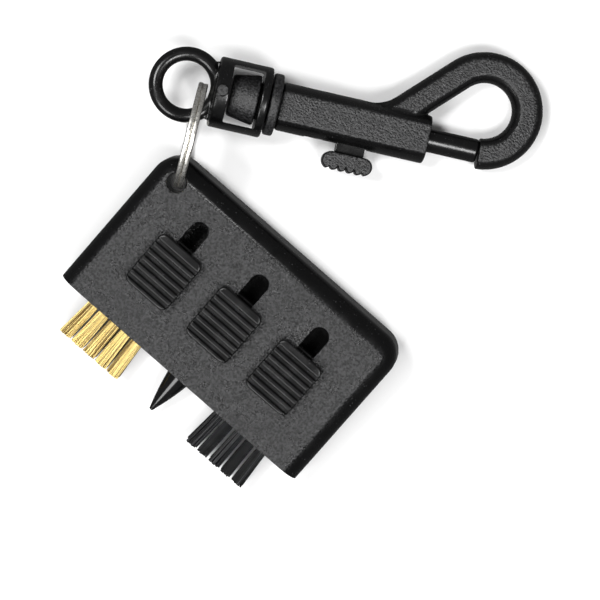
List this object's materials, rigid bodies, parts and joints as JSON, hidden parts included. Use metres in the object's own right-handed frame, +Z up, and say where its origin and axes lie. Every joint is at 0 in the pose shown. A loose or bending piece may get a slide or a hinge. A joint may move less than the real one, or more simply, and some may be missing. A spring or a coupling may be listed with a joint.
{
  "type": "club groove brush",
  "caption": "Pocket golf-club groove cleaner: flat housing with thumb-slid brass brush, pick and nylon brush, on a split ring with a swivel snap hook.",
  "frame": {"origin": "middle of the underside of the whole object's box, on the table that it lies on", "axes": "+X across the housing along its mouth edge, +Y from the tools to the ring and hook, +Z up from the table"},
  "size_m": [0.0796, 0.107, 0.0228],
  "materials": {
    "housing_plastic": "spark-textured black ABS",
    "button_plastic": "satin black, moulded ribs",
    "carrier_plastic": "polished black acetal",
    "brass_wire": "bright crimped brass wire",
    "nylon_bristle": "black nylon bristle",
    "anchor_steel": "flat anchor wire",
    "ring_nickel": "bright nickel plate",
    "hook_plastic": "satin black acetal",
    "spring_steel": "drawn spring wire"
  },
  "bodies": {
    "housing": {"front_shell": "housing_plastic", "back_cover": "housing_plastic"},
    "brass_slider": {"brass_button": "button_plastic", "brass_carrier": "carrier_plastic", "brass_tuft_01": "brass_wire", "brass_tuft_02": "brass_wire", "brass_tuft_03": "brass_wire", "brass_tuft_04": "brass_wire", "brass_tuft_05": "brass_wire", "brass_tuft_06": "brass_wire", "brass_tuft_07": "brass_wire", "brass_tuft_08": "brass_wire", "brass_tuft_09": "brass_wire", "brass_tuft_10": "brass_wire", "brass_anchor_01": "anchor_steel", "brass_anchor_02": "anchor_steel", "brass_anchor_03": "anchor_steel", "brass_anchor_04": "anchor_steel", "brass_anchor_05": "anchor_steel", "brass_anchor_06": "anchor_steel", "brass_anchor_07": "anchor_steel", "brass_anchor_08": "anchor_steel", "brass_anchor_09": "anchor_steel", "brass_anchor_10": "anchor_steel"},
    "pick_slider": {"pick_button": "button_plastic", "pick_carrier": "carrier_plastic"},
    "nylon_slider": {"nylon_button": "button_plastic", "nylon_carrier": "carrier_plastic", "nylon_tuft_01": "nylon_bristle", "nylon_tuft_02": "nylon_bristle", "nylon_tuft_03": "nylon_bristle", "nylon_tuft_04": "nylon_bristle", "nylon_tuft_05": "nylon_bristle", "nylon_tuft_06": "nylon_bristle", "nylon_tuft_07": "nylon_bristle", "nylon_tuft_08": "nylon_bristle", "nylon_tuft_09": "nylon_bristle", "nylon_tuft_10": "nylon_bristle", "nylon_anchor_01": "anchor_steel", "nylon_anchor_02": "anchor_steel", "nylon_anchor_03": "anchor_steel", "nylon_anchor_04": "anchor_steel", "nylon_anchor_05": "anchor_steel", "nylon_anchor_06": "anchor_steel", "nylon_anchor_07": "anchor_steel", "nylon_anchor_08": "anchor_steel", "nylon_anchor_09": "anchor_steel", "nylon_anchor_10": "anchor_steel"},
    "ring": {"split_ring": "ring_nickel"},
    "eye": {"swivel_eye": "hook_plastic"},
    "hook": {"swivel_post": "hook_plastic", "hook_body": "hook_plastic", "bolt_spring": "spring_steel"},
    "bolt": {"bolt": "hook_plastic", "thumb_tab": "hook_plastic"}
  },
  "joints": [
    {"name": "brass_slide", "type": "slide", "parent": "housing", "child": "brass_slider", "axis": [0, 0.989, 0.1481], "range_m": [0, 0.0102]},
    {"name": "pick_slide", "type": "slide", "parent": "housing", "child": "pick_slider", "axis": [0, 0.989, 0.1481], "range_m": [0, 0.0102]},
    {"name": "nylon_slide", "type": "slide", "parent": "housing", "child": "nylon_slider", "axis": [0, 0.989, 0.1481], "range_m": [0, 0.0102]},
    {"name": "ring_swing", "type": "hinge", "parent": "housing", "child": "ring", "pos_m": [-0.01963, -0.01261, 0.01011], "axis": [0, -0.1481, 0.989], "range_deg": [-15, 95]},
    {"name": "eye_turn", "type": "hinge", "parent": "ring", "child": "eye", "pos_m": [-0.03188, 0.00365, 0.00887], "axis": [0.0698, 0.0379, 0.9968], "range_deg": [-12, 140]},
    {"name": "swivel", "type": "hinge", "parent": "eye", "child": "hook", "pos_m": [-0.02171, 0.00917, 0.00795], "axis": [0.876, 0.4757, -0.0795], "continuous": true},
    {"name": "bolt_slide", "type": "slide", "parent": "hook", "child": "bolt", "axis": [-0.876, -0.4757, 0.0795], "range_m": [0, 0.0065], "stiffness_N_per_m": 400, "springref_m": -0.004, "deforming": ["bolt_spring"]}
  ]
}
